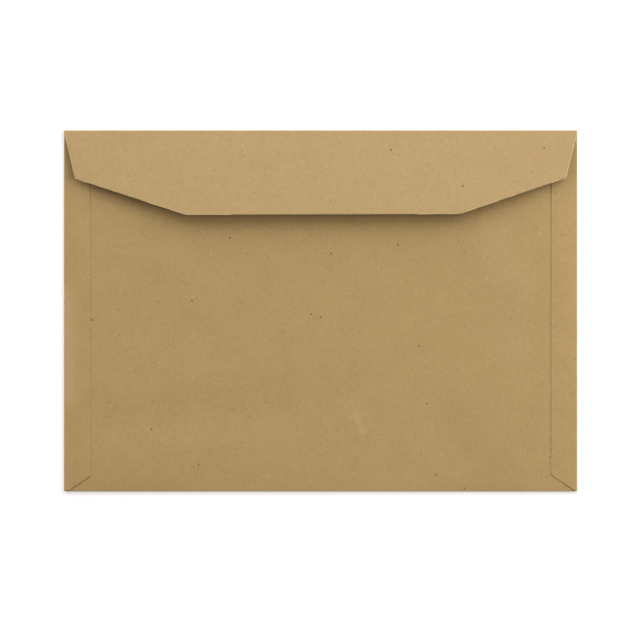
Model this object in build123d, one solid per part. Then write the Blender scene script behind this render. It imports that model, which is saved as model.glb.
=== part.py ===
from build123d import *

import math
import os

# A flat mailing envelope, die-cut from one sheet of kraft paper, then folded and glued at its two sides.
#
# The address panel lies underneath. The back panel folds up from the bottom edge and lies over it. A narrow
# side flap folds in from each side over the back panel and is glued down on it, which closes the pocket.
# The closing flap folds down from the top edge over the pocket's mouth. It isn't stuck, and springs up a little.
#
# Frame: X runs along the closing flap's fold, Y from the bottom fold towards the closing flap's fold, and Z up.
# The origin is the middle of the address panel's outer face. Pairs of values are (left, right).

# ---- Overall sizes, in millimetres ----
WIDTH = 250.0  # side fold to side fold
HEIGHT = 176.0  # bottom fold to the closing flap's fold
PAPER = 0.13  # thickness of the sheet

# ---- Pocket ----
POCKET_GAP = 0.4  # air between the address panel and the back panel of the empty pocket
THROAT = 20.0  # from the closing flap's fold down to the back panel's top edge
BACK_EDGE_INSET = 1.0  # from a side fold in to the back panel's side edge
BACK_CORNER_RADIUS = 3.0  # the back panel's two top corners

# ---- Side flaps ----
SIDE_FLAP = 12.8  # width, from the side fold to the free edge
SIDE_HEAD_DROP = 7.5  # from the closing flap's fold down to the sloping top end, at the free edge
SIDE_FOOT_RISE = (7.4, 8.4)  # from the bottom fold up to the sloping lower end, at the free edge
SIDE_FOOT_INSET = (2.4, 1.4)  # from the side fold in to where the lower end starts to slope
SIDE_CORNER_RADIUS = 1.5  # the free edge's two corners

# ---- Closing flap ----
FLAP_DEPTH = (41.6, 41.2)  # from the fold down to the two ends of the lip
FLAP_LIP_INSET = (59.6, 57.5)  # from a side fold in to the lip's end
FLAP_LIP_RADIUS = 8.0
FLAP_SHOULDER_DEPTH = (24.0, 23.6)  # from the fold down to the shoulders
FLAP_SHOULDER_INSET = (5.7, 5.8)  # from a side fold in to the shoulder
FLAP_SHOULDER_RADIUS = 1.5
FLAP_LIFT = 5.2  # degrees that the flap stands up from the pocket at its fold
FLAP_CURL = 0.4  # degrees of that lift that the flap's gentle curl takes back by the lip
FLAP_CLEARANCE = 0.1  # between the flap and the side flaps under it, at its fold

# ---- Top corners of the sheet ----
FULL_BAND = 1.2  # the sheet keeps its full width this far on each side of the closing flap's fold
CORNER_SLIT = 0.3  # cut that parts each side flap from that full-width band

# ---- Levels, fold radii and edges that follow ----
BACK_TOP = PAPER + POCKET_GAP + PAPER  # outer face of the back panel
SIDE_TOP = BACK_TOP + PAPER  # outer face of the side flaps, which lie flat on the back panel
BOTTOM_RADIUS = BACK_TOP / 2  # outside of the bottom fold
SIDE_RADIUS = SIDE_TOP / 2  # outside of a side fold
FLAP_RADIUS = (SIDE_TOP + FLAP_CLEARANCE + PAPER) / 2  # outside of the closing flap's fold

TOP = HEIGHT / 2
BOTTOM = -HEIGHT / 2
EDGE = WIDTH / 2
PANEL_FOOT = BOTTOM + BOTTOM_RADIUS  # where the address panel goes over into the bottom fold
PANEL_HEAD = TOP - FLAP_RADIUS  # where it goes over into the closing flap's fold
PANEL_SIDE = EDGE - SIDE_RADIUS  # where it goes over into a side fold

FLAT_FOLD = 180.0  # degrees, folded right over
REACH = WIDTH + HEIGHT  # longer than any panel, for strips that are trimmed to their panel's outline
SPARE = 5.0  # an outline runs on this far past a fold, where nothing is trimmed

SIDES = {"left": (-1, 0), "right": (1, 1)}  # direction along X, and place in a pair of values


def outline(*corners):
    """A panel as seen from above, from its corners (x, y, radius) in order."""
    points = [(x, y) for x, y, radius in corners]
    radii = [radius for x, y, radius in corners]
    return make_face(FilletPolyline(*points, radius=radii, close=True))


def strip_face(depth, fold_radius, turn, run, curl):
    """One face of a folded strip, seen edge-on and this deep in the paper: the fold's arc and the run past it.

    The line leaves the Y axis along +X and folds over upwards. A run with a curl goes on turning the same way.
    """
    fold = JernArc(start=(0, depth), tangent=(1, 0), radius=fold_radius - depth, arc_size=turn)
    if curl:
        curl_radius = run / math.radians(curl) - depth
        return fold, JernArc(start=fold @ 1, tangent=fold % 1, radius=curl_radius, arc_size=curl)
    return fold, Line(fold @ 1, fold @ 1 + (fold % 1) * run)


def folded_panel(panel, fold_start, outward, fold_radius, turn=FLAT_FOLD, run=REACH, curl=0.0):
    """A fold and the panel past it: a strip of paper as wide as needed, trimmed to the panel's outline."""
    outer_fold, outer_run = strip_face(0, fold_radius, turn, run, curl)
    inner_fold, inner_run = strip_face(PAPER, fold_radius, turn, run, curl)
    near_end = Line(outer_fold @ 0, inner_fold @ 0)
    far_end = Line(outer_run @ 1, inner_run @ 1)
    section = make_face([outer_fold, outer_run, far_end, inner_run, inner_fold, near_end])
    edge_on = Plane(origin=fold_start, x_dir=outward, z_dir=Vector(outward).cross(Vector(0, 0, 1)))
    strip = extrude(edge_on * section, amount=REACH, both=True)
    return strip & extrude(panel, amount=REACH, both=True)


def address_panel():
    """The flat panel underneath, with the full-width band beside the closing flap's fold."""
    half = [
        (PANEL_SIDE, PANEL_FOOT, 0),
        (PANEL_SIDE, TOP - FULL_BAND, 0),
        (EDGE, TOP - FULL_BAND, 0),
        (EDGE, PANEL_HEAD, 0),
    ]
    other_half = [(-x, y, radius) for x, y, radius in reversed(half)]
    return extrude(outline(*half, *other_half), amount=PAPER)


def back_panel():
    """The pocket's upper wall, with the bottom fold that it hangs on."""
    side = EDGE - BACK_EDGE_INSET
    panel = outline(
        (-side, BOTTOM - SPARE, 0),
        (side, BOTTOM - SPARE, 0),
        (side, TOP - THROAT, BACK_CORNER_RADIUS),
        (-side, TOP - THROAT, BACK_CORNER_RADIUS),
    )
    return folded_panel(panel, (0, PANEL_FOOT, 0), (0, -1, 0), BOTTOM_RADIUS)


def side_flap(side):
    """A side fold and the narrow flap past it, glued down on the back panel. Both its ends slope."""
    outward, which = SIDES[side]
    head = TOP - FULL_BAND - CORNER_SLIT
    free_edge = EDGE - SIDE_FLAP
    corners = [
        (EDGE + SPARE, PANEL_FOOT, 0),
        (EDGE + SPARE, head, 0),
        (PANEL_SIDE, head, 0),
        (free_edge, TOP - SIDE_HEAD_DROP, SIDE_CORNER_RADIUS),
        (free_edge, BOTTOM + SIDE_FOOT_RISE[which], SIDE_CORNER_RADIUS),
        (EDGE - SIDE_FOOT_INSET[which], PANEL_FOOT, 0),
    ]
    panel = outline(*[(outward * x, y, radius) for x, y, radius in corners])
    return folded_panel(panel, (outward * PANEL_SIDE, 0, 0), (outward, 0, 0), SIDE_RADIUS)


def closing_flap():
    """The closing flap with its fold. Its sides slant in to two shoulders, then run down to a shorter lip."""
    half_outlines = []
    for outward, which in SIDES.values():
        half = [
            (EDGE, TOP + SPARE, 0),
            (EDGE, TOP - FULL_BAND, 0),
            (EDGE - FLAP_SHOULDER_INSET[which], TOP - FLAP_SHOULDER_DEPTH[which], FLAP_SHOULDER_RADIUS),
            (EDGE - FLAP_LIP_INSET[which], TOP - FLAP_DEPTH[which], FLAP_LIP_RADIUS),
        ]
        half_outlines.append([(outward * x, y, radius) for x, y, radius in half])
    left, right = half_outlines
    panel = outline(*left, *reversed(right))
    run = max(FLAP_DEPTH) / math.cos(math.radians(FLAP_LIFT))
    turn = FLAT_FOLD - FLAP_LIFT
    return folded_panel(panel, (0, PANEL_HEAD, 0), (0, 1, 0), FLAP_RADIUS, turn, run, FLAP_CURL)


envelope = address_panel() + back_panel() + side_flap("left") + side_flap("right") + closing_flap()

os.makedirs("parts", exist_ok=True)
export_step(envelope, "parts/envelope.step")

# The sheet's flat size, along the middle of its thickness.
fold_lengths = {
    "bottom": math.pi * (BOTTOM_RADIUS - PAPER / 2),
    "side": math.pi * (SIDE_RADIUS - PAPER / 2),
    "closing": math.radians(FLAT_FOLD - FLAP_LIFT) * (FLAP_RADIUS - PAPER / 2),
}
flat_width = 2 * (PANEL_SIDE + fold_lengths["side"] + PANEL_SIDE - (EDGE - SIDE_FLAP))
back_length = TOP - THROAT - PANEL_FOOT
flap_length = (max(FLAP_DEPTH) - FLAP_RADIUS) / math.cos(math.radians(FLAP_LIFT - FLAP_CURL / 2))
flat_height = (
    back_length + fold_lengths["bottom"] + PANEL_HEAD - PANEL_FOOT + fold_lengths["closing"] + flap_length
)
print(f"sheet before folding {flat_width:.1f} x {flat_height:.1f} mm, volume {envelope.volume:.0f} mm3")
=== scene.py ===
# %% [markdown]
# # A kraft envelope, folded from one sheet
# A mailing envelope is a single piece of paper. A die cuts its outline, a machine folds it along four
# creases, and glue holds two narrow side flaps down on the back. The closing flap stays loose and springs
# up a little. This file makes it in the same order: draw the flat sheet, fold it, give it the paper's
# thickness, and then give it its colour, its fibres and its flecks. The last cells set up a small studio
# and look straight down on it.
#
# Everything is in metres. The model that carries the real sizes is loaded first, and our piece goes where
# it lies.

import math

import bmesh
import bpy
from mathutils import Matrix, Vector


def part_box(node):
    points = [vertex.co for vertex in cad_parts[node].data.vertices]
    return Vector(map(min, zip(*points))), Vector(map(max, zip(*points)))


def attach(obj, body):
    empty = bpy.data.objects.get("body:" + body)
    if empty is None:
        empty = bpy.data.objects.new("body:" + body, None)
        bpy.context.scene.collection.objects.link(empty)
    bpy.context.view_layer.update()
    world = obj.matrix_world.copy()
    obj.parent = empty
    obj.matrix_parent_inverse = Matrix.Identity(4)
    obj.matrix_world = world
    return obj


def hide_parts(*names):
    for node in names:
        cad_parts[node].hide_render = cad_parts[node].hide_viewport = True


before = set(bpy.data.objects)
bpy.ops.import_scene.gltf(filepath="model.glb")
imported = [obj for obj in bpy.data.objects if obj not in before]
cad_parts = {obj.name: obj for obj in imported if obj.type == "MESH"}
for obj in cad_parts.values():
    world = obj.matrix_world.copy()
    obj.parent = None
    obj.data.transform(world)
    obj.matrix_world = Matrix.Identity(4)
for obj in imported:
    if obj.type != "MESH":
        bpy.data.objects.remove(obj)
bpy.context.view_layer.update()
low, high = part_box("envelope")
MM = 0.001
WELD = 0.001 * MM  # points that are nearer than this are one point
print("envelope", [round(side / MM, 1) for side in (high.x - low.x, high.y - low.y, high.z - low.z)], "mm")

# %% [markdown]
# ## Sizes
# The outside of the folded envelope comes from the measured model. What a box can't tell, such as how thick
# the paper is or where the flap's shoulders sit, is written here once. A pair of values is (left, right),
# because the die and the folder are never quite square to each other.
#
# Paper has a middle plane that neither stretches nor shrinks in a fold. So each fold is an arc in that
# plane, and its length is the angle times the radius of the middle plane.

# %% Named sizes
EDGE = high.x  # from the middle to a side fold's outside
TOP = high.y  # outside of the closing flap's fold
BOTTOM = low.y  # outside of the bottom fold

PAPER = 0.13 * MM
POCKET_GAP = 0.4 * MM  # inside the empty pocket, along its folds
THROAT = 20.0 * MM  # from the closing flap's fold down to the pocket's mouth
BACK_INSET = 1.0 * MM  # the back panel is this much narrower on each side
BACK_CORNER = 3.0 * MM
SIDE_FLAP = 12.8 * MM
SIDE_HEAD_DROP = 7.5 * MM
SIDE_FOOT_RISE = (7.4 * MM, 8.4 * MM)
SIDE_FOOT_INSET = (2.4 * MM, 1.4 * MM)
SIDE_CORNER = 1.5 * MM
FLAP_DEPTH = (41.6 * MM, 41.2 * MM)
LIP_INSET = (59.6 * MM, 57.5 * MM)
LIP_RADIUS = 8.0 * MM
SHOULDER_DEPTH = (24.0 * MM, 23.6 * MM)
SHOULDER_INSET = (5.7 * MM, 5.8 * MM)
SHOULDER_RADIUS = 1.5 * MM
FULL_BAND = 1.2 * MM  # the sheet keeps its full width this far beside the closing flap's fold
CORNER_SLIT = 0.3 * MM
FLAP_CLEARANCE = 0.1 * MM
FLAP_LIFT = math.radians(5.2)  # how far the loose flap stands up at its fold
FLAP_CURL = math.radians(0.4)  # how much of that its gentle curl takes back by the lip

BACK_TOP = 2 * PAPER + POCKET_GAP
SIDE_TOP = BACK_TOP + PAPER
BOTTOM_FOLD = (BACK_TOP - PAPER) / 2  # radii of the folds' middle planes
SIDE_FOLD = (SIDE_TOP - PAPER) / 2
FLAP_FOLD = (SIDE_TOP + FLAP_CLEARANCE) / 2
SIDE_LINE = EDGE - SIDE_FOLD - PAPER / 2  # creases, where the address panel starts to turn
FOOT_LINE = BOTTOM + BOTTOM_FOLD + PAPER / 2
HEAD_LINE = TOP - FLAP_FOLD - PAPER / 2
print(f"fold radii {BOTTOM_FOLD / MM:.2f}, {SIDE_FOLD / MM:.2f} and {FLAP_FOLD / MM:.2f} mm")

# %% [markdown]
# ## The flat sheet
# A fold needs rows of faces that run along it, close together, and the panels between need only large ones.
# So the sheet is drawn panel by panel, each as a grid whose lines are as dense as its place needs, and each
# is then cut to its outline by straight knife strokes, as the die does. A stroke throws away what lies
# outside it. Every panel is convex, which is why plain strokes are enough, round corners included.
#
# Just inside each cut a second line is scored, so that a thin band of faces follows the cut. Each point
# stores how near it is to a cut: guillotined kraft is a little paler and furrier there, and the material
# reads it. Along the side flaps' free edges the same band carries painted shade on the left and painted
# light on the right.

# %% Grid lines and rounded outlines
PANEL_STEP = 2.4 * MM
FOLD_ROWS = 10
CUT_BAND = 0.45 * MM
FOLD_MARGIN = 0.12 * MM  # the first row past a fold is this narrow, so that the panel beyond is shaded flat
CORNER_STROKES = 7
FLAP_WEAR = 1.5  # how pale and furry the closing flap's cut is
SIDE_SEAM_SHADE_AND_LIGHT = (-1.0, 0.35)  # painted shade along the left side flap's free edge, where its step throws a thin shadow, and painted light along the right one


def grid_lines(stops, step=PANEL_STEP):
    """Places from the first stop to the last, through every stop and at most a step apart."""
    places = [stops[0]]
    for start, end in zip(stops, stops[1:]):
        count = max(1, math.ceil(abs(end - start) / step))
        places += [start + (end - start) * k / count for k in range(1, count)] + [end]
    return places


def rounded(corners):
    """A path through corners (x, y, radius), with each radius turned into short strokes."""
    path = []
    for k, (x, y, radius) in enumerate(corners):
        here = Vector((x, y, 0))
        if radius == 0:
            path.append(here)
            continue
        back = (Vector((*corners[k - 1][:2], 0)) - here).normalized()
        on = (Vector((*corners[k + 1][:2], 0)) - here).normalized()
        half_corner = back.angle(on) / 2
        centre = here + (back + on).normalized() * radius / math.sin(half_corner)
        first = here + back * radius / math.tan(half_corner) - centre
        turn = math.pi - 2 * half_corner
        for stroke in range(CORNER_STROKES + 1):
            angle = turn * stroke / CORNER_STROKES
            path.append(centre + Vector((
                first.x * math.cos(angle) - first.y * math.sin(angle),
                first.x * math.sin(angle) + first.y * math.cos(angle), 0)))
    return path


print("a round corner takes", len(rounded([(0, 0, 0), (10, 0, 2), (10, 10, 0)])) - 2, "points")

# %% Cut one panel
sheet_points = []
sheet_faces = []
sheet_panel = []  # which panel each point belongs to
sheet_near_cut = []  # 1 at a cut, 0 a band's width away from it
sheet_wear_and_painted_seam = []  # the same, but only as much as the cut is furry; below 0 it is painted shade, as on the left side flap's edge, and on the right side flap it is painted light
sheet_in_fold = []  # 1 in the middle of a fold, 0 on the flat


def strokes_of(path):
    """Each straight stretch of an anticlockwise path, as (point on it, direction out of the panel)."""
    for start, end in zip(path, path[1:]):
        along = (end - start).normalized()
        yield start, Vector((along.y, -along.x, 0))


def add_panel(number, xs, ys, corners=(), crease=None, fold_length=1.0, wear_and_painted_seam=0.2):
    """Draws a panel on grid lines, cuts it along its free corners and adds it to the sheet, outer face down.

    crease is (a point on it, the direction away from it), and the fold is as long as fold_length from there.
    wear_and_painted_seam says how pale and furry the cut is; on the right side flap that paleness is painted
    light, and below 0 it says how much painted shade darkens the cut.
    """
    panel = bmesh.new()
    rows = [[panel.verts.new((x, y, 0)) for x in sorted(xs)] for y in sorted(ys)]
    for lower, upper in zip(rows, rows[1:]):
        for a, b, c, d in zip(lower, upper, upper[1:], lower[1:]):
            panel.faces.new((a, b, c, d))
    path = rounded(corners)
    for start, outward in strokes_of(path):
        for inset, throw_away in ((CUT_BAND, False), (0, True)):
            bmesh.ops.bisect_plane(
                panel, geom=panel.verts[:] + panel.edges[:] + panel.faces[:],
                dist=WELD / 10, plane_co=start - outward * inset, plane_no=outward, clear_outer=throw_away)
    first = len(sheet_points)
    panel.verts.index_update()
    for point in panel.verts:
        away = min((outward.dot(start - point.co) for start, outward in strokes_of(path)), default=CUT_BAND)
        sheet_points.append(point.co.copy())
        sheet_panel.append(number)
        sheet_near_cut.append(1 - min(max(away, 0) / CUT_BAND, 1))
        sheet_wear_and_painted_seam.append(wear_and_painted_seam * sheet_near_cut[-1])
        turned = Vector(crease[1]).dot(point.co - Vector(crease[0])) / fold_length if crease else 0
        sheet_in_fold.append(max(0.0, math.sin(math.pi * min(turned, 1))))
    for face in panel.faces:
        sheet_faces.append([first + point.index for point in face.verts])
    panel.free()
    print(f"panel {number}: {len(sheet_points) - first} points")


# %% Draw the five panels
ADDRESS, BACK, LEFT_SIDE, RIGHT_SIDE, CLOSING = range(5)

side_head = TOP - FULL_BAND - CORNER_SLIT
back_side = EDGE - BACK_INSET
half_columns = [0, back_side - CUT_BAND, back_side, EDGE - CUT_BAND, SIDE_LINE, EDGE]
columns = grid_lines([-x for x in half_columns[:0:-1]] + half_columns)
rows_up = grid_lines([
    FOOT_LINE, FOOT_LINE + CUT_BAND, side_head - CUT_BAND, side_head, TOP - FULL_BAND, HEAD_LINE])

add_panel(ADDRESS, [x for x in columns if abs(x) <= SIDE_LINE], [y for y in rows_up if y <= TOP - FULL_BAND])
add_panel(ADDRESS, columns, [y for y in rows_up if y >= TOP - FULL_BAND])


def fold_rows(line, direction, length):
    """Grid lines across a fold of this length that starts at a crease."""
    return grid_lines([line, line + direction * length], length / FOLD_ROWS)


bottom_length = math.pi * BOTTOM_FOLD
back_root = FOOT_LINE - bottom_length
back_end = back_root - (TOP - THROAT - FOOT_LINE)
add_panel(
    BACK, [x for x in columns if abs(x) <= back_side],
    fold_rows(FOOT_LINE, -1, bottom_length) + grid_lines([back_root, back_root - FOLD_MARGIN, back_end])[1:],
    [(-back_side, FOOT_LINE, 0), (-back_side, back_end, BACK_CORNER), (back_side, back_end, BACK_CORNER),
     (back_side, FOOT_LINE, 0)],
    ((0, FOOT_LINE, 0), (0, -1, 0)), bottom_length)

flap_length = (math.pi - FLAP_LIFT) * FLAP_FOLD
flap_root = HEAD_LINE + flap_length
flap_slope = math.cos(FLAP_LIFT - FLAP_CURL / 2)


def along_flap(depth):
    """Where a depth below the closing flap's fold lies on the flat sheet."""
    return flap_root + (depth - (TOP - HEAD_LINE)) / flap_slope


def flap_half(which, side):
    """Half of the closing flap's outline, from its fold down to the lip's end."""
    return [
        (side * EDGE, HEAD_LINE, 0), (side * EDGE, along_flap(FULL_BAND), 0),
        (side * (EDGE - SHOULDER_INSET[which]), along_flap(SHOULDER_DEPTH[which]), SHOULDER_RADIUS),
        (side * (EDGE - LIP_INSET[which]), along_flap(FLAP_DEPTH[which]), LIP_RADIUS)]


add_panel(
    CLOSING, columns,
    fold_rows(HEAD_LINE, 1, flap_length) + grid_lines(
        [flap_root, flap_root + FOLD_MARGIN, along_flap(max(FLAP_DEPTH))])[1:],
    flap_half(1, 1) + flap_half(0, -1)[::-1],
    ((0, HEAD_LINE, 0), (0, 1, 0)), flap_length, wear_and_painted_seam=FLAP_WEAR)

side_length = math.pi * SIDE_FOLD
side_root = SIDE_LINE + side_length
for number, which, side in ((LEFT_SIDE, 0, -1), (RIGHT_SIDE, 1, 1)):
    side_end = side_root + SIDE_LINE - (EDGE - SIDE_FLAP)
    foot_start = side_root + SIDE_LINE - (EDGE - SIDE_FOOT_INSET[which])
    corners = [
        (SIDE_LINE, FOOT_LINE, 0), (foot_start, FOOT_LINE, 0),
        (side_end, BOTTOM + SIDE_FOOT_RISE[which], SIDE_CORNER),
        (side_end, TOP - SIDE_HEAD_DROP, SIDE_CORNER), (side_root, side_head, 0), (SIDE_LINE, side_head, 0)]
    if side < 0:
        corners = [(-x, y, radius) for x, y, radius in reversed(corners)]
    flat_columns = grid_lines([side_root, side_root + FOLD_MARGIN, side_end])[1:]
    across = fold_rows(SIDE_LINE, 1, side_length) + flat_columns
    add_panel(
        number, [side * x for x in across], [y for y in rows_up if y <= side_head], corners,
        ((side * SIDE_LINE, 0, 0), (side, 0, 0)), side_length, wear_and_painted_seam=SIDE_SEAM_SHADE_AND_LIGHT[which])

# %% Make the sheet a mesh
sheet = bpy.data.meshes.new("flat_sheet")
sheet.from_pydata(sheet_points, [], sheet_faces)
sheet.attributes.new("panel", "INT", "POINT").data.foreach_set("value", sheet_panel)
sheet.attributes.new("near_cut", "FLOAT", "POINT").data.foreach_set("value", sheet_near_cut)
sheet.attributes.new("wear_and_painted_seam", "FLOAT", "POINT").data.foreach_set("value", sheet_wear_and_painted_seam)
sheet.attributes.new("in_fold", "FLOAT", "POINT").data.foreach_set("value", sheet_in_fold)
flat_map = sheet.uv_layers.new(name="sheet")
for loop, spot in zip(sheet.loops, flat_map.uv):
    spot.vector = sheet.vertices[loop.vertex_index].co.xy
sheet.validate()
flat_width = max(p.x for p in sheet_points) - min(p.x for p in sheet_points)
flat_height = max(p.y for p in sheet_points) - min(p.y for p in sheet_points)
print(f"flat sheet {flat_width / MM:.1f} x {flat_height / MM:.1f} mm, {len(sheet_faces)} faces")

# %% [markdown]
# ## Small helpers for node trees
# Geometry Nodes and shader nodes are built by the same three steps: add a node, set it up, and plug
# something into its inputs. One helper does all three. An input may be another node's output or a plain
# value.

# %% Node helpers
def put(tree, kind, inputs=None, **settings):
    """Adds a node, sets it up, and links or fills its inputs."""
    node = tree.nodes.new(kind)
    for name, value in settings.items():
        setattr(node, name, value)
    for key, value in (inputs or {}).items():
        if isinstance(value, bpy.types.NodeSocket):
            tree.links.new(value, node.inputs[key])
        else:
            node.inputs[key].default_value = value
    return node


def maths(tree, operation, *values, clamp=False):
    """One step of arithmetic on numbers."""
    node = put(tree, "ShaderNodeMath", dict(enumerate(values)), operation=operation, use_clamp=clamp)
    return node.outputs[0]


def vectors(tree, operation, *values):
    """One step of arithmetic on vectors or colours."""
    node = put(tree, "ShaderNodeVectorMath", dict(enumerate(values)), operation=operation)
    return node.outputs["Value" if operation in ("DOT_PRODUCT", "LENGTH") else "Vector"]


def scaled(tree, vector, factor):
    """A vector times a number."""
    node = put(tree, "ShaderNodeVectorMath", {0: vector, "Scale": factor}, operation="SCALE")
    return node.outputs["Vector"]


def whole_numbers(tree, operation, first, second):
    """Compares two whole numbers, which the Compare node takes at its third and fourth inputs."""
    node = put(tree, "FunctionNodeCompare", {2: first, 3: second}, data_type="INT", operation=operation)
    return node.outputs[0]


def stored(tree, name, kind="FLOAT"):
    """What each point has stored under a name."""
    return put(tree, "GeometryNodeInputNamedAttribute", {"Name": name}, data_type=kind).outputs["Attribute"]


def new_tree(name, kind, inputs, outputs):
    """An empty node group with named sockets, given as (name, short socket type, default)."""
    tree = bpy.data.node_groups.new(name, kind)
    for label, short, default in inputs:
        socket = tree.interface.new_socket(label, in_out="INPUT", socket_type="NodeSocket" + short)
        if default is not None:
            socket.default_value = default
    for label, short in outputs:
        tree.interface.new_socket(label, in_out="OUTPUT", socket_type="NodeSocket" + short)
    start = tree.nodes.new("NodeGroupInput")
    end = tree.nodes.new("NodeGroupOutput")
    return tree, start.outputs, end.inputs


# %% [markdown]
# ## Folding along a crease
# To fold a sheet, each point past the crease rolls round an arc and then goes straight on. If s is its
# distance past the crease, the arc uses up the first radius x angle of it, and the rest runs on in the new
# direction. The same rule, with a very large radius, is the gentle curl of a flap. It is one node group,
# used five times.
#
# Bones or a lattice could fold a mesh too, but they squash the paper at the crease. This rule keeps its
# length.

# %% Node group: fold along a crease
fold, given, result = new_tree(
    "fold_along_crease", "GeometryNodeTree",
    [("Geometry", "Geometry", None), ("Panel", "Int", 0), ("Crease", "Vector", (0, 0, 0)),
     ("Outward", "Vector", (0, 1, 0)), ("Radius", "Float", 1.0), ("Angle", "Float", 0.0)],
    [("Geometry", "Geometry")])
on_panel = whole_numbers(fold, "EQUAL", stored(fold, "panel", "INT"), given["Panel"])
place = put(fold, "GeometryNodeInputPosition").outputs["Position"]
past = vectors(fold, "DOT_PRODUCT", vectors(fold, "SUBTRACT", place, given["Crease"]), given["Outward"])
rise = put(fold, "ShaderNodeSeparateXYZ", {0: place}).outputs["Z"]
past_crease = maths(fold, "MAXIMUM", past, 0.0)
turned = maths(fold, "MINIMUM", maths(fold, "DIVIDE", past_crease, given["Radius"]), given["Angle"])
rest = maths(fold, "SUBTRACT", past_crease, maths(fold, "MULTIPLY", turned, given["Radius"]))
arm = maths(fold, "SUBTRACT", given["Radius"], rise)  # from the fold's axis to the point
cosine = maths(fold, "COSINE", turned)
sine = maths(fold, "SINE", turned)
new_out = maths(fold, "MULTIPLY_ADD", rest, cosine, maths(fold, "MULTIPLY", arm, sine))
new_up = maths(fold, "MULTIPLY_ADD", rest, sine, maths(
    fold, "SUBTRACT", arm, maths(fold, "MULTIPLY", arm, cosine)))
sideways = scaled(fold, given["Outward"], maths(fold, "SUBTRACT", new_out, past_crease))
upwards = put(fold, "ShaderNodeCombineXYZ", {"Z": new_up}).outputs["Vector"]
moved = put(fold, "GeometryNodeSetPosition", {
    "Geometry": given["Geometry"], "Selection": on_panel,
    "Offset": vectors(fold, "ADD", sideways, upwards)})
fold.links.new(moved.outputs["Geometry"], result["Geometry"])
print("fold_along_crease has", len(fold.nodes), "nodes")

# %% [markdown]
# ## The pocket relaxes
# Folded paper never lies quite flat. A crease wants to open again, so the back panel springs up from the
# bottom and side folds, and it is highest near the pocket's open mouth. On top of that come slow waves and
# a few faint dents from handling. All of this lifts the glued side flaps with the panel under them, so it
# depends only on where a point lies in plan. It fades out towards the folds, and at the two top corners,
# where the paper is held.
#
# A dent is a soft streak from one point to another. The same streak, as a shader group, later paints soft
# patches of painted light and painted shade, and a pale streak along a crease, so one function makes both
# kinds of group.

# %% A soft streak, for dents and for patches of painted light and shade
def soft_streak(name, kind):
    """A node group that is as much as Amount on the line from Start to End, and fades away beside it."""
    tree, given, result = new_tree(
        name, kind,
        [("Place", "Vector", (0, 0, 0)), ("Start", "Vector", (0, 0, 0)), ("End", "Vector", (0, 1, 0)),
         ("Width", "Float", 0.01), ("Amount", "Float", 0.0)],
        [("Amount", "Float")])
    span = vectors(tree, "SUBTRACT", given["End"], given["Start"])
    from_start = vectors(tree, "SUBTRACT", given["Place"], given["Start"])
    share = maths(tree, "DIVIDE", vectors(tree, "DOT_PRODUCT", from_start, span),
                  vectors(tree, "DOT_PRODUCT", span, span), clamp=True)
    away = vectors(tree, "LENGTH", vectors(tree, "SUBTRACT", from_start, scaled(tree, span, share)))
    widths_away = maths(tree, "DIVIDE", away, given["Width"])
    falloff = maths(tree, "EXPONENT", maths(
        tree, "MULTIPLY", maths(tree, "MULTIPLY", widths_away, widths_away), -1.0))
    tree.links.new(maths(tree, "MULTIPLY", falloff, given["Amount"]), result["Amount"])
    return tree


def add_streaks(tree, kind, streak, place, rows, unit, total=0.0):
    """Adds up one streak for each row (start, end, width, amount): places in millimetres, amounts in unit."""
    for start, end, width, amount in rows:
        one = put(tree, kind, node_tree=streak)
        tree.links.new(place, one.inputs["Place"])
        one.inputs["Start"].default_value = (start[0] * MM, start[1] * MM, 0)
        one.inputs["End"].default_value = (end[0] * MM, end[1] * MM, 0)
        one.inputs["Width"].default_value = width * MM
        one.inputs["Amount"].default_value = amount * unit
        total = maths(tree, "ADD", total, one.outputs["Amount"])
    return total


faint_dent = soft_streak("faint_dent", "GeometryNodeTree")
print(faint_dent.name, "has", len(faint_dent.nodes), "nodes")

# %% Node group: let the pocket relax
CORNER_REACH = 3.0  # the top corners are held for this many corner lengths down from the mouth

# Handling dents as (start, end, width, height), in millimetres from the middle of the envelope.
DENTS = (
    ((13.5, -46.0), (20.5, -62.0), 2.4, 0.14),
    ((62.0, -50.0), (84.0, -80.0), 9.0, -0.25),
    ((48.0, 24.0), (54.0, 14.0), 3.0, 0.08),
    ((80.0, 34.0), (98.0, 10.0), 10.0, 0.22),
    ((-86.0, 34.0), (-60.0, 4.0), 12.0, 0.15),
    ((-100.0, -54.0), (10.0, -40.0), 12.0, -0.22),
    ((-112.0, 46.0), (-78.0, 38.0), 9.0, -0.12),
)

relax, given, result = new_tree(
    "let_the_pocket_relax", "GeometryNodeTree",
    [("Geometry", "Geometry", None), ("Foot Line", "Float", 0.0), ("Side Line", "Float", 0.0),
     ("Mouth", "Float", 1.0), ("Head Line", "Float", 2.0), ("Swell", "Float", 0.0),
     ("Spring Share", "Float", 0.3), ("Sag", "Float", 0.0), ("Sag Length", "Float", 0.1),
     ("Foot Spring", "Float", 0.01), ("Side Spring", "Float", 0.01), ("Edge Spring", "Float", 0.0),
     ("Corner Length", "Float", 0.01), ("Wave Height", "Float", 0.0), ("Wave Length", "Float", 0.05),
     ("Seed", "Float", 0.0)],
    [("Geometry", "Geometry")])
place = put(relax, "GeometryNodeInputPosition").outputs["Position"]
parts = put(relax, "ShaderNodeSeparateXYZ", {0: place}).outputs
plan = put(relax, "ShaderNodeCombineXYZ", {"X": parts["X"], "Y": parts["Y"]}).outputs["Vector"]


def risen(distance, spring):
    """0 at a fold, and nearly 1 a few spring lengths away from it."""
    decay = maths(relax, "EXPONENT", maths(relax, "MULTIPLY", maths(relax, "DIVIDE", distance, spring), -1.0))
    return maths(relax, "SUBTRACT", 1.0, decay)


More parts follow.
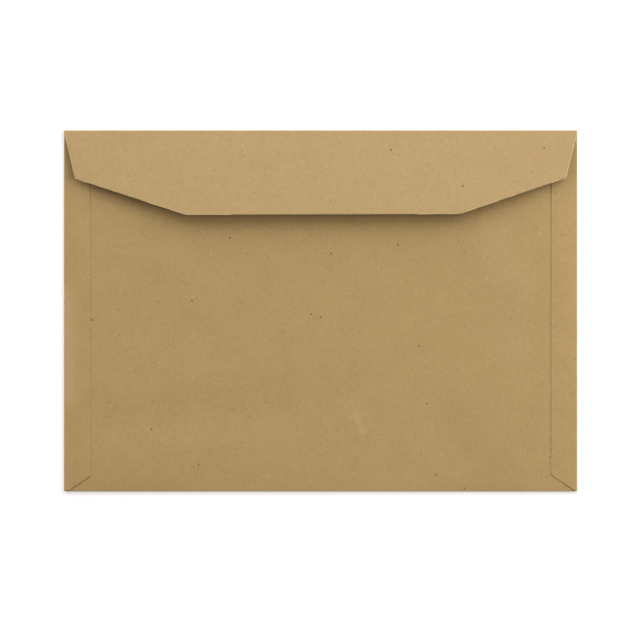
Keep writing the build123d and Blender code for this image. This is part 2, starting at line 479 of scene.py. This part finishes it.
# %% How far the panel springs up
from_foot = maths(relax, "MAXIMUM", maths(relax, "SUBTRACT", parts["Y"], given["Foot Line"]), 0.0)
from_side = maths(relax, "MAXIMUM", maths(
    relax, "SUBTRACT", given["Side Line"], maths(relax, "ABSOLUTE", parts["X"])), 0.0)
foot_risen = risen(from_foot, given["Foot Spring"])
side_risen = risen(from_side, given["Side Spring"])
up_the_pocket = maths(relax, "DIVIDE", from_foot, maths(
    relax, "SUBTRACT", given["Mouth"], given["Foot Line"]))
profile = maths(relax, "MULTIPLY_ADD", given["Spring Share"], foot_risen, maths(
    relax, "MULTIPLY", maths(relax, "SUBTRACT", 1.0, given["Spring Share"]), up_the_pocket))
held_up = maths(relax, "SUBTRACT", 1.0, maths(
    relax, "MULTIPLY", given["Sag"], risen(from_side, given["Sag Length"])))
lift = maths(relax, "MULTIPLY", maths(relax, "MULTIPLY", profile, side_risen), maths(
    relax, "MULTIPLY", given["Swell"], held_up))

# %% Waves and dents on top
waves = put(relax, "ShaderNodeTexNoise", {
    "Vector": plan, "W": given["Seed"], "Scale": maths(relax, "DIVIDE", 1.0, given["Wave Length"]),
    "Detail": 1.0}, noise_dimensions="4D").outputs["Fac"]
uneven = maths(relax, "MULTIPLY", maths(relax, "SUBTRACT", waves, 0.5), given["Wave Height"])
uneven = add_streaks(relax, "GeometryNodeGroup", faint_dent, plan, DENTS, MM, uneven)
lift = maths(relax, "MULTIPLY_ADD", uneven, maths(relax, "MULTIPLY", foot_risen, side_risen), lift)

# %% Held down under the head and at the top corners
not_held_down = put(relax, "ShaderNodeMapRange", {
    "Value": parts["Y"], "From Min": given["Mouth"], "From Max": given["Head Line"], "To Min": 1.0,
    "To Max": 0.0}, interpolation_type="SMOOTHSTEP").outputs["Result"]
lift = maths(relax, "MULTIPLY", lift, not_held_down)
near_side = maths(relax, "EXPONENT", maths(
    relax, "MULTIPLY", maths(relax, "DIVIDE", from_side, given["Corner Length"]), -1.0))
below_mouth = maths(relax, "SUBTRACT", given["Mouth"], parts["Y"])
near_corner = maths(relax, "SUBTRACT", 1.0, maths(
    relax, "DIVIDE", below_mouth, maths(relax, "MULTIPLY", given["Corner Length"], CORNER_REACH), clamp=True))
lift = maths(relax, "MULTIPLY", lift, maths(
    relax, "SUBTRACT", 1.0, maths(relax, "MULTIPLY", near_side, near_corner)))

# %% Lift the back panel and the side flaps
panel_here = stored(relax, "panel", "INT")
unglued = maths(relax, "MULTIPLY", stored(relax, "near_cut"), whole_numbers(
    relax, "GREATER_EQUAL", panel_here, LEFT_SIDE))
lift = maths(relax, "MULTIPLY_ADD", unglued, given["Edge Spring"], lift)
pocket_top = put(relax, "FunctionNodeBooleanMath", {
    0: whole_numbers(relax, "GREATER_EQUAL", panel_here, BACK),
    1: whole_numbers(relax, "LESS_THAN", panel_here, CLOSING)}, operation="AND")
moved = put(relax, "GeometryNodeSetPosition", {
    "Geometry": given["Geometry"], "Selection": pocket_top.outputs[0],
    "Offset": put(relax, "ShaderNodeCombineXYZ", {"Z": lift}).outputs["Vector"]})
relax.links.new(moved.outputs["Geometry"], result["Geometry"])
print("let_the_pocket_relax has", len(relax.nodes), "nodes and", len(DENTS), "dents")

# %% [markdown]
# The closing flap is loose, but its fold runs on past the flap's shoulders to the very corners. There the
# thick corner holds the flap down a little, so its ends stand lower than the middle of its lip.

# %% Node group: hold down the flap's ends
END_SHARPNESS = 4.0  # the power at which the drop grows towards the ends

hold, given, result = new_tree(
    "hold_down_the_ends", "GeometryNodeTree",
    [("Geometry", "Geometry", None), ("Head Line", "Float", 1.0), ("Edge", "Float", 1.0),
     ("Reach", "Float", 1.0), ("Droop", "Float", 0.0)],
    [("Geometry", "Geometry")])
parts = put(hold, "ShaderNodeSeparateXYZ", {
    0: put(hold, "GeometryNodeInputPosition").outputs["Position"]}).outputs
towards_end = maths(hold, "POWER", maths(
    hold, "DIVIDE", maths(hold, "ABSOLUTE", parts["X"]), given["Edge"]), END_SHARPNESS)
down_the_flap = maths(hold, "DIVIDE", maths(
    hold, "SUBTRACT", given["Head Line"], parts["Y"]), given["Reach"], clamp=True)
drop = maths(hold, "MULTIPLY", maths(hold, "MULTIPLY", towards_end, down_the_flap), given["Droop"])
downwards = put(hold, "ShaderNodeCombineXYZ", {"Z": maths(hold, "MULTIPLY", drop, -1.0)}).outputs["Vector"]
moved = put(hold, "GeometryNodeSetPosition", {
    "Geometry": given["Geometry"], "Offset": downwards,
    "Selection": whole_numbers(hold, "EQUAL", stored(hold, "panel", "INT"), CLOSING)})
hold.links.new(moved.outputs["Geometry"], result["Geometry"])
print("hold_down_the_ends has", len(hold.nodes), "nodes")

# %% [markdown]
# ## Thickness
# The folded sheet is still a surface in the paper's middle plane. Half the thickness goes to each side: one
# copy moves out, a second moves in and is turned over, and a strip of faces closes the cut edges between
# them. Extrude Mesh gives the outer copy and the strip in one step. The Solidify modifier would do the
# same, but here the two skins and the cut edges each get their own material on the way.

# %% Node group: give the paper its thickness
thicken, given, result = new_tree(
    "give_thickness", "GeometryNodeTree",
    [("Geometry", "Geometry", None), ("Thickness", "Float", 0.001)],
    [("Geometry", "Geometry"), ("Outer", "Bool"), ("Cut", "Bool")])
normal = put(thicken, "GeometryNodeInputNormal").outputs["Normal"]
inner = put(thicken, "GeometryNodeSetPosition", {
    "Geometry": given["Geometry"],
    "Offset": scaled(thicken, normal, maths(thicken, "MULTIPLY", given["Thickness"], -0.5))})
raised = put(thicken, "GeometryNodeExtrudeMesh", {
    "Mesh": inner.outputs["Geometry"], "Offset": normal, "Offset Scale": given["Thickness"],
    "Individual": False}, mode="FACES")
turned_over = put(thicken, "GeometryNodeFlipFaces", {"Mesh": inner.outputs["Geometry"]})
joined = put(thicken, "GeometryNodeJoinGeometry")
thicken.links.new(raised.outputs["Mesh"], joined.inputs[0])
thicken.links.new(turned_over.outputs["Mesh"], joined.inputs[0])
welded = put(thicken, "GeometryNodeMergeByDistance", {
    "Geometry": joined.outputs["Geometry"], "Distance": WELD})
thicken.links.new(welded.outputs["Geometry"], result["Geometry"])
thicken.links.new(raised.outputs["Top"], result["Outer"])
thicken.links.new(raised.outputs["Side"], result["Cut"])
print("give_thickness has", len(thicken.nodes), "nodes")

# %% [markdown]
# ## Marks in the paper
# Recycled kraft is full of small things: pale and dark fibres a few millimetres long, brown flecks of bark
# and ink, and a few pale ones. All are the same job, a small mark here and there, so one shader group
# scatters them. A Voronoi texture gives every point its nearest cell. The cell's random colour then says
# whether the cell bears a mark, which way it lies and how far it curls. A long narrow mark is a fibre and a
# short wide one a fleck.
#
# The marks follow the flat sheet's own map, not space, so they run round the folds as real fibres do.

# %% Shader group: scattered marks
marks, given, result = new_tree(
    "scattered_marks", "ShaderNodeTree",
    [("Sheet", "Vector", (0, 0, 0)), ("Spacing", "Float", 0.003), ("Half Length", "Float", 0.001),
     ("Half Width", "Float", 0.0001), ("Share", "Float", 1.0), ("Slant", "Float", 1.0),
     ("Seed", "Float", 0.0)],
    [("Mask", "Float")])
seeded = vectors(marks, "ADD", given["Sheet"], scaled(
    marks, put(marks, "ShaderNodeCombineXYZ", {"X": 1.7, "Y": 2.9}).outputs["Vector"], given["Seed"]))
cells = put(marks, "ShaderNodeTexVoronoi", {
    "Vector": seeded, "Scale": maths(marks, "DIVIDE", 1.0, given["Spacing"]), "Randomness": 0.9},
    voronoi_dimensions="2D")
chance = put(marks, "ShaderNodeSeparateColor", {0: cells.outputs["Color"]}).outputs
arm = put(marks, "ShaderNodeSeparateXYZ", {0: vectors(
    marks, "SUBTRACT", seeded, cells.outputs["Position"])}).outputs
angle = maths(marks, "MULTIPLY", maths(marks, "SUBTRACT", chance["Red"], 0.5), given["Slant"])
cosine = maths(marks, "COSINE", angle)
sine = maths(marks, "SINE", angle)
across = maths(marks, "MULTIPLY_ADD", arm["X"], cosine, maths(marks, "MULTIPLY", arm["Y"], sine))
along = maths(marks, "MULTIPLY_ADD", arm["Y"], cosine, maths(
    marks, "MULTIPLY", maths(marks, "MULTIPLY", arm["X"], sine), -1.0))

# %% Bend each mark, and fade it at its edges
lengths_along = maths(marks, "DIVIDE", along, given["Half Length"])
curl = maths(marks, "MULTIPLY", maths(marks, "SUBTRACT", chance["Green"], 0.5), given["Half Length"])
across = maths(marks, "MULTIPLY_ADD", maths(
    marks, "MULTIPLY", lengths_along, lengths_along), curl, across)


def fade(distance, full, none):
    """1 up to one distance, and 0 past the other."""
    return put(marks, "ShaderNodeMapRange", {
        "Value": distance, "From Min": full, "From Max": none, "To Min": 1.0, "To Max": 0.0},
        interpolation_type="SMOOTHSTEP").outputs["Result"]


widths_across = maths(marks, "DIVIDE", maths(marks, "ABSOLUTE", across), given["Half Width"])
mask = maths(marks, "MULTIPLY", fade(widths_across, 0.4, 1.0), fade(
    maths(marks, "ABSOLUTE", lengths_along), 0.7, 1.0))
bears_mark = maths(marks, "LESS_THAN", chance["Blue"], given["Share"])
marks.links.new(maths(marks, "MULTIPLY", mask, bears_mark), result["Mask"])
print("scattered_marks has", len(marks.nodes), "nodes")

# %% [markdown]
# ## The look of kraft
# Five things make the sheet's colour. The pulp is cloudy, a little lighter and darker every few
# millimetres. Fibres and flecks lie in it. Wherever the paper was cut or folded its surface is broken, so
# it is paler. Painted light and painted shade lie on it: soft patches, among them painted shadow below the
# closing flap's slanting edges, and thin lines along the side flaps' free edges. One pale streak follows a
# crease. The closing flap has a painted sheen, so its colour is a little greyer. The same fibres and
# clouds, much fainter, give the surface its fine unevenness through a Bump node.
#
# Both skins and the cut edges use this one group. Only the seed differs, so the inside isn't a copy of the
# outside.

# %% Painted light, painted shade and a pale crease
# As (start, end, width, amount), in millimetres from the middle of the envelope. Above 0 is painted lighter,
# and below 0 is painted darker. The first is a pale streak along a small crease. The rest are painted light
# and painted shade: light where the pocket's low swells and the left fold face the lamps, shade in its
# shallow hollows, along the bottom fold, as painted shadow below the closing flap's slanting edges, and in
# the two small corners beside the flap. They lie on the pocket, under the closing flap too, and not on the
# flap.
PAINTED_LIGHT_SHADE_AND_RUBS = (
    ((16.5, -50.5), (20.6, -58.5), 1.6, 0.14),
    ((-124.0, 8.0), (-123.0, -42.0), 4.5, 0.20),
    ((82.0, 33.0), (96.0, 12.0), 9.0, 0.07),
    ((93.0, -8.0), (95.0, -20.0), 8.0, 0.06),
    ((62.0, -56.0), (84.0, -82.0), 8.0, -0.12),
    ((-42.0, -47.0), (4.0, -46.0), 10.0, -0.06),
    ((-76.0, -47.0), (-66.0, -47.0), 9.0, -0.05),
    ((-118.0, -84.0), (-70.0, -87.0), 6.0, -0.10),
    ((60.0, -87.0), (95.0, -87.0), 5.0, -0.10),
    ((-125.0, 82.0), (-122.0, 66.0), 3.0, -0.42),
    ((124.5, 78.0), (122.0, 68.0), 2.5, -0.20),
    ((-109.0, 58.5), (-86.0, 51.0), 4.0, -0.31),
    ((96.0, 53.0), (109.0, 58.0), 4.0, -0.08),
)
soft_patch = soft_streak("soft_patch", "ShaderNodeTree")
print(len(PAINTED_LIGHT_SHADE_AND_RUBS), "patches of painted light, painted shade and rubbing")

# %% Colours and marks of the pulp
# Layers of marks as (spacing, half length, half width, share, slant, colour, strength), sizes in millimetres.
MARKS = (
    (2.6, 1.00, 0.14, 0.60, 1.4, (0.28, 0.17, 0.065), 0.34),
    (3.4, 1.50, 0.12, 0.50, 2.4, (0.62, 0.47, 0.26), 0.24),
    (1.9, 0.80, 0.10, 0.50, 3.0, (0.58, 0.43, 0.23), 0.18),
    (5.5, 0.55, 0.18, 0.40, 2.0, (0.19, 0.11, 0.042), 0.40),
    (11.0, 0.28, 0.23, 0.40, 3.0, (0.09, 0.045, 0.020), 0.90),
    (31.0, 0.48, 0.38, 0.45, 3.0, (0.040, 0.018, 0.010), 0.95),
    (12.0, 0.36, 0.21, 0.40, 3.0, (0.72, 0.62, 0.45), 0.50),
)
PULP = (0.455, 0.301, 0.129)
PULP_DARK = (0.415, 0.272, 0.114)
PULP_SHIFT = (0.985, 1.010, 0.965)  # a greener, yellower pulp, as much lighter or darker in each colour
FLAP_PAINTED_SHEEN = (0.986, 1.007, 1.105)  # painted sheen: the closing flap is tinted a little greyer, as if it caught more of the lamps' whitish reflection
# pale colour of broken fibres at cuts and folds, also the colour of painted light
PALE_FIBRE_AND_PAINTED_LIGHT = (0.62, 0.47, 0.27)
# the dark colour of painted shade
PAINTED_SHADE_TINT = (0.25, 0.155, 0.06)
SEAM_SHADE_SHARE = 0.3  # how far painted shade darkens a side flap's cut
print(len(MARKS), "layers of marks")

# %% Shader group: kraft pulp
FINE_CLOUDS = 1.1 * MM
MIDDLING_CLOUDS = 3.5 * MM
SLOW_CLOUDS = 11.0 * MM
HUE_CLOUDS = 4.5 * MM
FUR_CLOUDS = 0.7 * MM
CREASE_CLOUDS = 0.9 * MM

pulp, given, result = new_tree(
    "kraft_pulp", "ShaderNodeTree",
    [("Sheet", "Vector", (0, 0, 0)), ("Place", "Vector", (0, 0, 0)), ("Seed", "Float", 0.0),
     ("Panel", "Float", 0.0), ("Wear And Painted Seam", "Float", 0.0), ("In Fold", "Float", 0.0)],
    [("Color", "Color"), ("Height", "Float"), ("Roughness", "Float")])
seeded = vectors(pulp, "ADD", given["Sheet"], scaled(
    pulp, put(pulp, "ShaderNodeCombineXYZ", {"X": 3.1, "Y": 1.3}).outputs["Vector"], given["Seed"]))


def clouds(length, detail, stretch=1.0):
    """Noise with lumps about this long. A stretch over 1 makes them longer up and down the sheet."""
    vector = vectors(pulp, "MULTIPLY", seeded, (1.0, 1.0 / stretch, 1.0))
    return put(pulp, "ShaderNodeTexNoise", {
        "Vector": vector, "Scale": 1 / length, "Detail": detail, "Roughness": 0.6},
        noise_dimensions="2D").outputs["Fac"]


def mixed(tree, share, first, second):
    """The first colour, with this share of the second in it."""
    node = put(tree, "ShaderNodeMix", {"Factor": share}, data_type="RGBA")
    for name, value in (("A", first), ("B", second)):
        socket = next(s for s in node.inputs if s.name == name and s.type == "RGBA")
        if isinstance(value, bpy.types.NodeSocket):
            tree.links.new(value, socket)
        else:
            socket.default_value = (*value, 1.0)
    return next(s for s in node.outputs if s.type == "RGBA")


def spread(tree, value, least, most):
    """Stretches the middle of a noise, from 0.3 to 0.7, to run from least to most."""
    return put(tree, "ShaderNodeMapRange", {
        "Value": value, "From Min": 0.3, "From Max": 0.7, "To Min": least, "To Max": most}).outputs["Result"]


# %% Cloudy pulp
fine = clouds(FINE_CLOUDS, 3.0, 1.35)
middling = clouds(MIDDLING_CLOUDS, 1.0)
slow = clouds(SLOW_CLOUDS, 2.0)
cloudy = maths(pulp, "ADD", spread(pulp, fine, 0.0, 0.60), spread(pulp, slow, -0.10, 0.30))
cloudy = maths(pulp, "ADD", cloudy, spread(pulp, middling, -0.10, 0.20), clamp=True)
colour = mixed(pulp, cloudy, PULP, PULP_DARK)
colour = mixed(pulp, spread(pulp, clouds(HUE_CLOUDS, 1.0), 0.0, 1.0), colour, vectors(
    pulp, "MULTIPLY", colour, PULP_SHIFT))
on_flap = maths(pulp, "GREATER_THAN", given["Panel"], CLOSING - 0.5)
# painted sheen: the closing flap gets a greyer tint
colour = mixed(pulp, on_flap, colour, vectors(pulp, "MULTIPLY", colour, FLAP_PAINTED_SHEEN))

# %% Fibres and flecks in the pulp
height = maths(pulp, "MULTIPLY", fine, 0.5)
for number, (spacing, length, width, share, slant, tint, strength) in enumerate(MARKS):
    layer = put(pulp, "ShaderNodeGroup", {
        "Sheet": seeded, "Spacing": spacing * MM, "Half Length": length * MM, "Half Width": width * MM,
        "Share": share, "Slant": slant, "Seed": number + 1.0}, node_tree=marks)
    colour = mixed(pulp, maths(pulp, "MULTIPLY", layer.outputs["Mask"], strength), colour, tint)
    height = maths(pulp, "MULTIPLY_ADD", layer.outputs["Mask"], 0.25, height)

# %% Cut and folded places, painted light and painted shade
# fur at the cuts, painted light on the right side flap's edge, and painted shade on the left one
fur_and_painted_light = maths(pulp, "MULTIPLY", given["Wear And Painted Seam"], spread(pulp, clouds(FUR_CLOUDS, 2.0), 0.50, 0.95))
painted_shade = maths(pulp, "MULTIPLY", given["Wear And Painted Seam"], -SEAM_SHADE_SHARE, clamp=True)
parts = put(pulp, "ShaderNodeSeparateXYZ", {0: given["Place"]}).outputs
plan = put(pulp, "ShaderNodeCombineXYZ", {"X": parts["X"], "Y": parts["Y"]}).outputs["Vector"]
light_shade_and_rubs = add_streaks(pulp, "ShaderNodeGroup", soft_patch, plan, PAINTED_LIGHT_SHADE_AND_RUBS, 1.0)
on_pocket = maths(pulp, "MULTIPLY", maths(pulp, "GREATER_THAN", parts["Z"], BACK_TOP / 2), maths(
    pulp, "SUBTRACT", 1.0, on_flap))
light_shade_and_rubs = maths(pulp, "MULTIPLY", light_shade_and_rubs, on_pocket)
# patches above 0 add painted light, and those below 0 add painted shade
fur_and_painted_light = maths(pulp, "ADD", fur_and_painted_light, maths(pulp, "MAXIMUM", light_shade_and_rubs, 0.0))
painted_shade = maths(pulp, "SUBTRACT", painted_shade, maths(pulp, "MINIMUM", light_shade_and_rubs, 0.0))
creased = maths(pulp, "MULTIPLY", given["In Fold"], spread(pulp, clouds(CREASE_CLOUDS, 2.0), 0.0, 0.12))
worn_and_painted_light = maths(pulp, "MAXIMUM", fur_and_painted_light, creased, clamp=True)
# painted shade first, then pale broken fibres and painted light
colour = mixed(pulp, painted_shade, colour, PAINTED_SHADE_TINT)
pulp.links.new(mixed(pulp, worn_and_painted_light, colour, PALE_FIBRE_AND_PAINTED_LIGHT), result["Color"])
pulp.links.new(height, result["Height"])
pulp.links.new(spread(pulp, fine, 0.72, 0.86), result["Roughness"])
print("kraft_pulp has", len(pulp.nodes), "nodes")

# %% [markdown]
# The paper needs three materials, for its outer skin, its inner skin and its cut edges. Paper is matte, so
# each is a plain Principled shader with a high roughness. The group above fills in what changes over the
# surface.

# %% The three materials
BUMP_DEPTH = 0.05 * MM


def kraft(name, seed, bump):
    """A paper material. The shader stays here, and the group gives only what changes over the surface."""
    material = bpy.data.materials.new(name)
    material.use_nodes = True
    tree = material.node_tree
    shader = tree.nodes["Principled BSDF"]
    look = put(tree, "ShaderNodeGroup", node_tree=pulp)
    look.inputs["Seed"].default_value = seed
    tree.links.new(put(tree, "ShaderNodeUVMap", uv_map="sheet").outputs["UV"], look.inputs["Sheet"])
    tree.links.new(put(tree, "ShaderNodeTexCoord").outputs["Object"], look.inputs["Place"])
    for attribute, socket in (("panel", "Panel"), ("wear_and_painted_seam", "Wear And Painted Seam"), ("in_fold", "In Fold")):
        read = put(tree, "ShaderNodeAttribute", attribute_name=attribute)
        tree.links.new(read.outputs["Fac"], look.inputs[socket])
    uneven = put(tree, "ShaderNodeBump", {
        "Height": look.outputs["Height"], "Strength": bump, "Distance": BUMP_DEPTH})
    tree.links.new(look.outputs["Color"], shader.inputs["Base Color"])
    tree.links.new(look.outputs["Roughness"], shader.inputs["Roughness"])
    tree.links.new(uneven.outputs["Normal"], shader.inputs["Normal"])
    shader.inputs["Specular IOR Level"].default_value = 0.4
    return material


outside = kraft("kraft_outside", 0.0, 0.5)
inside = kraft("kraft_inside", 4.0, 0.5)
cut_edge = kraft("kraft_cut_edge", 8.0, 0.8)
print("materials:", outside.name, inside.name, cut_edge.name)

# %% [markdown]
# ## Fold it
# The main tree runs the steps in the order that keeps them simple: what is furthest from the address panel
# turns first. Here that is the closing flap's gentle curl, then its fold, then the other three folds. The
# panels are welded only after the folds, while the number that says which panel a point belongs to is still
# exact.

# %% The tree that folds the envelope
envelope_tree, given, result = new_tree(
    "fold_the_envelope", "GeometryNodeTree",
    [("Geometry", "Geometry", None), ("Thickness", "Float", PAPER), ("Bottom Fold", "Float", BOTTOM_FOLD),
     ("Side Fold", "Float", SIDE_FOLD), ("Flap Fold", "Float", FLAP_FOLD), ("Flap Lift", "Float", FLAP_LIFT),
     ("Flap Curl", "Float", FLAP_CURL), ("Droop", "Float", 0.0), ("Swell", "Float", 0.0),
     ("Sag", "Float", 0.0), ("Sag Length", "Float", 0.1), ("Foot Spring", "Float", 0.01),
     ("Side Spring", "Float", 0.01), ("Edge Spring", "Float", 0.0), ("Corner Length", "Float", 0.01),
     ("Wave Height", "Float", 0.0), ("Wave Length", "Float", 0.05), ("Seed", "Float", 1.0)],
    [("Geometry", "Geometry")])
curl_radius = maths(envelope_tree, "DIVIDE", along_flap(max(FLAP_DEPTH)) - flap_root, given["Flap Curl"])
FOLDS = (
    (CLOSING, (0, flap_root, 0), (0, 1, 0), curl_radius, given["Flap Curl"]),
    (CLOSING, (0, HEAD_LINE, 0), (0, 1, 0), given["Flap Fold"],
     maths(envelope_tree, "SUBTRACT", math.pi, given["Flap Lift"])),
    (BACK, (0, FOOT_LINE, 0), (0, -1, 0), given["Bottom Fold"], math.pi),
    (LEFT_SIDE, (-SIDE_LINE, 0, 0), (-1, 0, 0), given["Side Fold"], math.pi),
    (RIGHT_SIDE, (SIDE_LINE, 0, 0), (1, 0, 0), given["Side Fold"], math.pi),
)
geometry = given["Geometry"]
for number, crease, outward, radius, angle in FOLDS:
    step = put(envelope_tree, "GeometryNodeGroup", {
        "Geometry": geometry, "Panel": number, "Crease": crease, "Outward": outward, "Radius": radius,
        "Angle": angle}, node_tree=fold)
    geometry = step.outputs["Geometry"]
print("folds:", len(FOLDS))

# %% Let the folded sheet settle
EASING = ("Swell", "Sag", "Sag Length", "Foot Spring", "Side Spring", "Edge Spring", "Corner Length",
          "Wave Height", "Wave Length", "Seed")
held = put(envelope_tree, "GeometryNodeGroup", {
    "Geometry": geometry, "Head Line": HEAD_LINE, "Edge": EDGE, "Reach": max(SHOULDER_DEPTH),
    "Droop": given["Droop"]}, node_tree=hold)
eased = put(envelope_tree, "GeometryNodeGroup", {
    "Geometry": held.outputs["Geometry"], "Foot Line": FOOT_LINE, "Side Line": SIDE_LINE,
    "Mouth": TOP - THROAT, "Head Line": HEAD_LINE, **{name: given[name] for name in EASING}}, node_tree=relax)

# %% Weld it, thicken it and give it its materials
welded = put(envelope_tree, "GeometryNodeMergeByDistance", {
    "Geometry": eased.outputs["Geometry"], "Distance": WELD})
lifted = put(envelope_tree, "GeometryNodeTransform", {
    "Geometry": welded.outputs["Geometry"], "Translation": (0, 0, PAPER / 2)})
solid = put(envelope_tree, "GeometryNodeGroup", {
    "Geometry": lifted.outputs["Geometry"], "Thickness": given["Thickness"]}, node_tree=thicken)
rounded_off = put(envelope_tree, "GeometryNodeSetShadeSmooth", {"Geometry": solid.outputs["Geometry"]})
keep_sharp = put(envelope_tree, "FunctionNodeBooleanMath", {0: solid.outputs["Cut"]}, operation="NOT")
envelope_tree.links.new(keep_sharp.outputs[0], rounded_off.inputs["Shade Smooth"])
real = put(envelope_tree, "GeometryNodeRealizeInstances", {"Geometry": rounded_off.outputs["Geometry"]})
geometry = real.outputs["Geometry"]
for material, where in ((inside, None), (outside, solid.outputs["Outer"]), (cut_edge, solid.outputs["Cut"])):
    painted = put(envelope_tree, "GeometryNodeSetMaterial", {"Geometry": geometry, "Material": material})
    if where:
        envelope_tree.links.new(where, painted.inputs["Selection"])
    geometry = painted.outputs["Geometry"]
envelope_tree.links.new(geometry, result["Geometry"])
print("fold_the_envelope has", len(envelope_tree.nodes), "nodes")

# %% [markdown]
# The modifier gets its sizes by the sockets' identifiers, because two sockets may share a name. The
# evaluated object is then copied into a plain mesh, so that the mesh holds exactly what is seen.

# %% Apply it to the sheet
SETTINGS = {
    "Droop": 0.4 * MM, "Swell": 1.2 * MM, "Sag": 0.6, "Sag Length": 40.0 * MM,
    "Foot Spring": 11.0 * MM, "Side Spring": 7.0 * MM, "Edge Spring": 0.01 * MM, "Corner Length": 14.0 * MM,
    "Wave Height": 0.5 * MM, "Wave Length": 55.0 * MM, "Seed": 3.0,
}
for material in (inside, outside, cut_edge):
    sheet.materials.append(material)
flat = bpy.data.objects.new("flat_sheet", sheet)
bpy.context.scene.collection.objects.link(flat)
folder = flat.modifiers.new("fold", "NODES")
folder.node_group = envelope_tree
for item in envelope_tree.interface.items_tree:
    if item.name in SETTINGS and item.in_out == "INPUT":
        folder[item.identifier] = SETTINGS[item.name]
graph = bpy.context.evaluated_depsgraph_get()
folded = bpy.data.meshes.new_from_object(
    flat.evaluated_get(graph), preserve_all_data_layers=True, depsgraph=graph)
folded.name = "kraft_envelope"
bpy.data.objects.remove(flat)
envelope = bpy.data.objects.new("kraft_envelope", folded)
bpy.context.scene.collection.objects.link(envelope)

loose_edges = sum(1 for edge in folded.edges if edge.is_loose)
triangles = sum(len(face.vertices) - 2 for face in folded.polygons)
print(f"folded envelope: {triangles} triangles, {loose_edges} loose edges, materials",
      [m.name for m in folded.materials])

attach(envelope, "root")
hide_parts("envelope")

# %% [markdown]
# ## The studio
# The envelope lies on a plain white table. Two wide, window-like lights stand beyond its top edge, one to
# the right and one to the left, and shine across it at a low angle. That is what makes flat paper readable:
# a raised lip throws a long soft shadow, and a surface that tilts by one degree is already lighter or
# darker. A higher window evens the light out, and two small lamps at the sides lift the side flaps.
#
# The surroundings are dim and a little warm, and fill the shadows. The table glows a little, so that it
# stays white round the paper. It lets the view from below through, to show the address face.

# %% Table
TABLE_HALF = 6.0
TABLE_PAINT = (0.68, 0.685, 0.71, 1.0)
TABLE_GLOW = 0.405
TABLE_TOP = -0.02 * MM  # a hair below the paper, because two faces in one plane would flicker
table_mesh = bpy.data.meshes.new("table")
table_mesh.from_pydata(
    [(x * TABLE_HALF, y * TABLE_HALF, TABLE_TOP) for x, y in ((-1, -1), (1, -1), (1, 1), (-1, 1))],
    [], [(0, 1, 2, 3)])
table = bpy.data.objects.new("table", table_mesh)
bpy.context.scene.collection.objects.link(table)
table_paint = bpy.data.materials.new("white_table")
table_paint.use_nodes = True
table_shader = table_paint.node_tree.nodes["Principled BSDF"]
table_shader.inputs["Base Color"].default_value = TABLE_PAINT
table_shader.inputs["Roughness"].default_value = 0.9
table_shader.inputs["Emission Color"].default_value = (1.0, 1.0, 1.0, 1.0)
table_shader.inputs["Emission Strength"].default_value = TABLE_GLOW
one_sided = put(table_paint.node_tree, "ShaderNodeMixShader", {
    0: put(table_paint.node_tree, "ShaderNodeNewGeometry").outputs["Backfacing"],
    1: table_shader.outputs["BSDF"],
    2: put(table_paint.node_tree, "ShaderNodeBsdfTransparent").outputs["BSDF"]})
table_paint.node_tree.links.new(
    one_sided.outputs["Shader"], table_paint.node_tree.nodes["Material Output"].inputs["Surface"])
table_mesh.materials.append(table_paint)
print(f"table {2 * TABLE_HALF:.0f} m wide")


# %% Lights
def soft_light(name, azimuth, elevation, distance, width, height, power):
    """A soft rectangular light. Azimuth 0 is beyond the envelope's top edge, and grows towards its right."""
    light = bpy.data.lights.new(name, "AREA")
    light.shape = "RECTANGLE"
    light.size = width
    light.size_y = height
    light.energy = power
    lamp = bpy.data.objects.new(name, light)
    level = distance * math.cos(elevation)
    lamp.location = (level * math.sin(azimuth), level * math.cos(azimuth), distance * math.sin(elevation))
    lamp.rotation_mode = "QUATERNION"
    lamp.rotation_quaternion = Vector(lamp.location).to_track_quat("Z", "Y")
    lamp.visible_camera = False
    bpy.context.scene.collection.objects.link(lamp)
    return lamp


# Lamps as (name, azimuth, elevation, distance, width, height, power), in degrees, metres and watts.
LAMPS = (
    ("right_window", 40, 12, 2.4, 2.6, 1.0, 74.0),
    ("left_window", -40, 11, 2.4, 2.4, 0.9, 51.0),
    ("upper_window", 16, 35, 2.4, 4.8, 0.85, 25.5),
    ("right_lamp", 85, 35, 1.0, 0.8, 0.6, 3.5),
    ("left_lamp", -85, 14, 1.0, 0.8, 0.3, 1.5),
)
for name, azimuth, elevation, *rest in LAMPS:
    lamp = soft_light(name, math.radians(azimuth), math.radians(elevation), *rest)
    print(name, "at", [round(place, 2) for place in lamp.location])

# %% Surroundings
WARM_ROOM = (1.0, 0.93, 0.77, 1.0)
ROOM_STRENGTH = 0.265

world = bpy.data.worlds.new("studio")
bpy.context.scene.world = world
world.use_nodes = True
air = world.node_tree
fill = air.nodes["Background"]
fill.inputs["Color"].default_value = WARM_ROOM
fill.inputs["Strength"].default_value = ROOM_STRENGTH

# %% [markdown]
# ## The camera
# It looks straight down from a little under a metre through a long lens, so the envelope's sides stay
# square.

# %% Camera
LENS = 100.0
SENSOR = 36.0
VIEW_WIDTH = 1.2468 * (high.x - low.x)  # what the square picture takes in
AIM = Vector((-0.3 * MM, -4.48 * MM, 0.0))  # the envelope lies a little above the picture's middle

camera_data = bpy.data.cameras.new("camera")
camera_data.lens = LENS
camera_data.sensor_width = SENSOR
camera = bpy.data.objects.new("camera", camera_data)
camera.location = AIM + Vector((0, 0, BACK_TOP + VIEW_WIDTH * LENS / SENSOR))
bpy.context.scene.collection.objects.link(camera)
bpy.context.scene.camera = camera
bpy.context.scene.view_settings.view_transform = "Standard"
print(f"camera {camera.location.z:.3f} m above the table")
